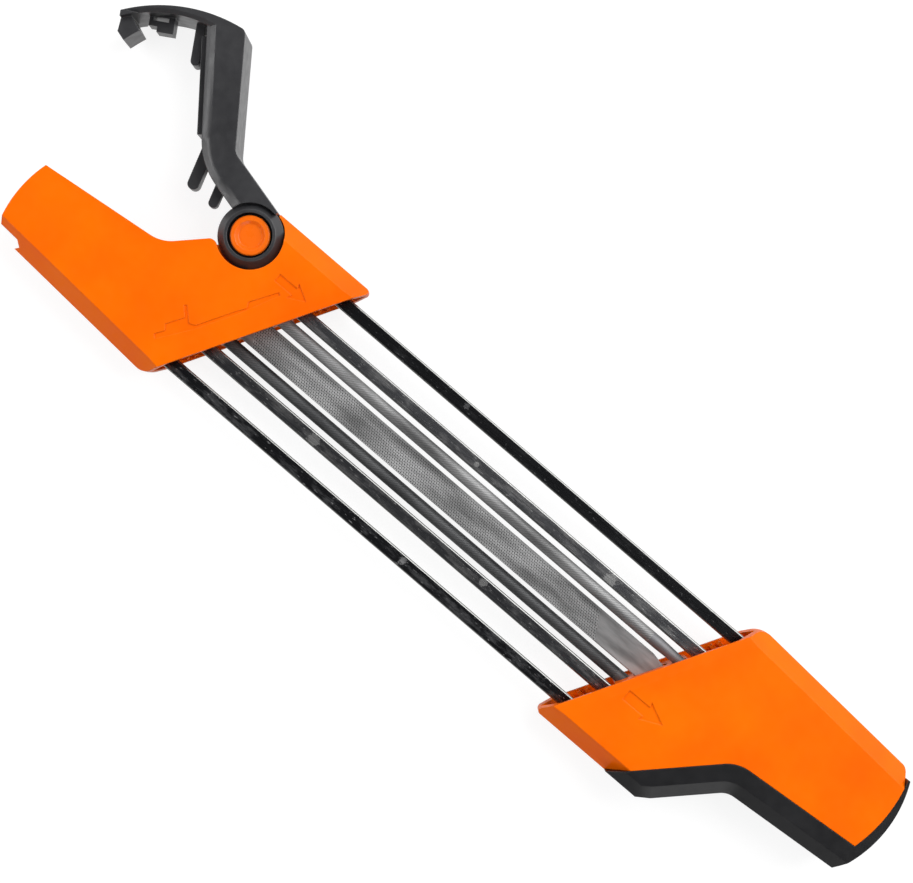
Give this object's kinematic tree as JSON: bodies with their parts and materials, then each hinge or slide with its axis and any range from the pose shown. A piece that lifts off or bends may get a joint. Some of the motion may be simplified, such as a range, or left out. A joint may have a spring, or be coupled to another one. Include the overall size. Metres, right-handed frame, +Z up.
{
  "type": "chainsaw file guide",
  "caption": "Hand-held saw chain filing guide: angled orange handles joined by flat steel bars around a flat file and round files, with a swing-out lever.",
  "frame": {"origin": "on the front handle's flat underside, below the line of the flat file, 25 mm behind the middle of the handle's mouth", "axes": "+X along the files from the lever's handle to the other, +Y the side that the lever opens to, +Z up"},
  "size_m": [0.4062, 0.1198, 0.024],
  "materials": {
    "orange_plastic": "fine texture",
    "orange_button": "satin",
    "black_plastic": "satin",
    "bar_steel": "polished, with scratches",
    "turned_steel": "turned",
    "spring_steel": "drawn",
    "file_steel": "cut teeth"
  },
  "bodies": {
    "tool": {"front_handle_upper": "orange_plastic", "front_handle_lower": "orange_plastic", "rear_handle_upper": "orange_plastic", "rear_handle_lower": "orange_plastic", "rear_grip_insert": "black_plastic", "button_spring": "spring_steel", "pivot_sleeve": "turned_steel", "pivot_cap": "orange_button", "guide_bar_outer_far": "bar_steel", "guide_bar_inner_far": "bar_steel", "guide_bar_inner_lever": "bar_steel", "guide_bar_outer_lever": "bar_steel", "front_bar_pins": "turned_steel", "rear_bar_pins": "turned_steel", "round_file_lower": "file_steel", "round_file_upper": "file_steel", "flat_file": "file_steel", "front_file_locator": "orange_plastic", "rear_file_locator": "orange_plastic"},
    "lever": {"lever": "black_plastic"},
    "release_button": {"release_button": "orange_button"}
  },
  "joints": [
    {"name": "lever_swing", "type": "hinge", "parent": "tool", "child": "lever", "pos_m": [0.0005, 0.0255, 0.012], "axis": [0, 0, 1], "range_deg": [0, 59]},
    {"name": "button_press", "type": "slide", "parent": "tool", "child": "release_button", "axis": [0, 0, -1], "range_m": [0, 0.002], "stiffness_N_per_m": 1200, "springref_m": -0.001, "deforming": ["button_spring"]}
  ]
}
